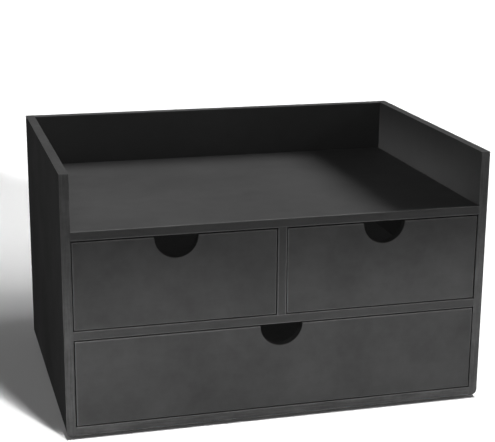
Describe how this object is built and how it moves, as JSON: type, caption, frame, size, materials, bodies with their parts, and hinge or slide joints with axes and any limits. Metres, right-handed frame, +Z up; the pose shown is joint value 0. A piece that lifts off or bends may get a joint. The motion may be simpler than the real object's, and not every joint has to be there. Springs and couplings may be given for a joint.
{
  "type": "desktop drawer organizer",
  "caption": "Low desktop cabinet of black painted board, with small drawers over a wide one, half-round finger notches and a raised rim round the top shelf.",
  "frame": {"origin": "centre of the footprint, on the surface that the foot pads stand on", "axes": "+X to the right as seen from the front, +Y from the front to the back, +Z up"},
  "size_m": [0.38, 0.26, 0.234],
  "materials": {
    "cabinet_paint": "satin black paint over fibreboard",
    "drawer_front_paint": "satin black paint over fibreboard, faintly clouded",
    "drawer_box_paint": "thin matt black paint over fibreboard",
    "foot_pad": "matt black foam rubber",
    "steel": "bright steel wire"
  },
  "bodies": {
    "cabinet": {"left_side_panel": "cabinet_paint", "right_side_panel": "cabinet_paint", "back_panel": "cabinet_paint", "bottom_board": "cabinet_paint", "middle_shelf": "cabinet_paint", "top_shelf": "cabinet_paint", "centre_divider": "cabinet_paint", "cabinet_pins": "steel", "foot_pads": "foot_pad"},
    "upper_left_drawer": {"upper_left_drawer_front": "drawer_front_paint", "upper_left_drawer_left_side": "drawer_box_paint", "upper_left_drawer_right_side": "drawer_box_paint", "upper_left_drawer_back": "drawer_box_paint", "upper_left_drawer_bottom": "drawer_box_paint", "upper_left_drawer_pins": "steel"},
    "upper_right_drawer": {"upper_right_drawer_front": "drawer_front_paint", "upper_right_drawer_left_side": "drawer_box_paint", "upper_right_drawer_right_side": "drawer_box_paint", "upper_right_drawer_back": "drawer_box_paint", "upper_right_drawer_bottom": "drawer_box_paint", "upper_right_drawer_pins": "steel"},
    "lower_drawer": {"lower_drawer_front": "drawer_front_paint", "lower_drawer_left_side": "drawer_box_paint", "lower_drawer_right_side": "drawer_box_paint", "lower_drawer_back": "drawer_box_paint", "lower_drawer_bottom": "drawer_box_paint", "lower_drawer_pins": "steel"}
  },
  "joints": [
    {"name": "upper_left_drawer_slide", "type": "slide", "parent": "cabinet", "child": "upper_left_drawer", "axis": [0, -1, 0], "range_m": [0, 0.215]},
    {"name": "upper_right_drawer_slide", "type": "slide", "parent": "cabinet", "child": "upper_right_drawer", "axis": [0, -1, 0], "range_m": [0, 0.215]},
    {"name": "lower_drawer_slide", "type": "slide", "parent": "cabinet", "child": "lower_drawer", "axis": [0, -1, 0], "range_m": [0, 0.215]}
  ]
}
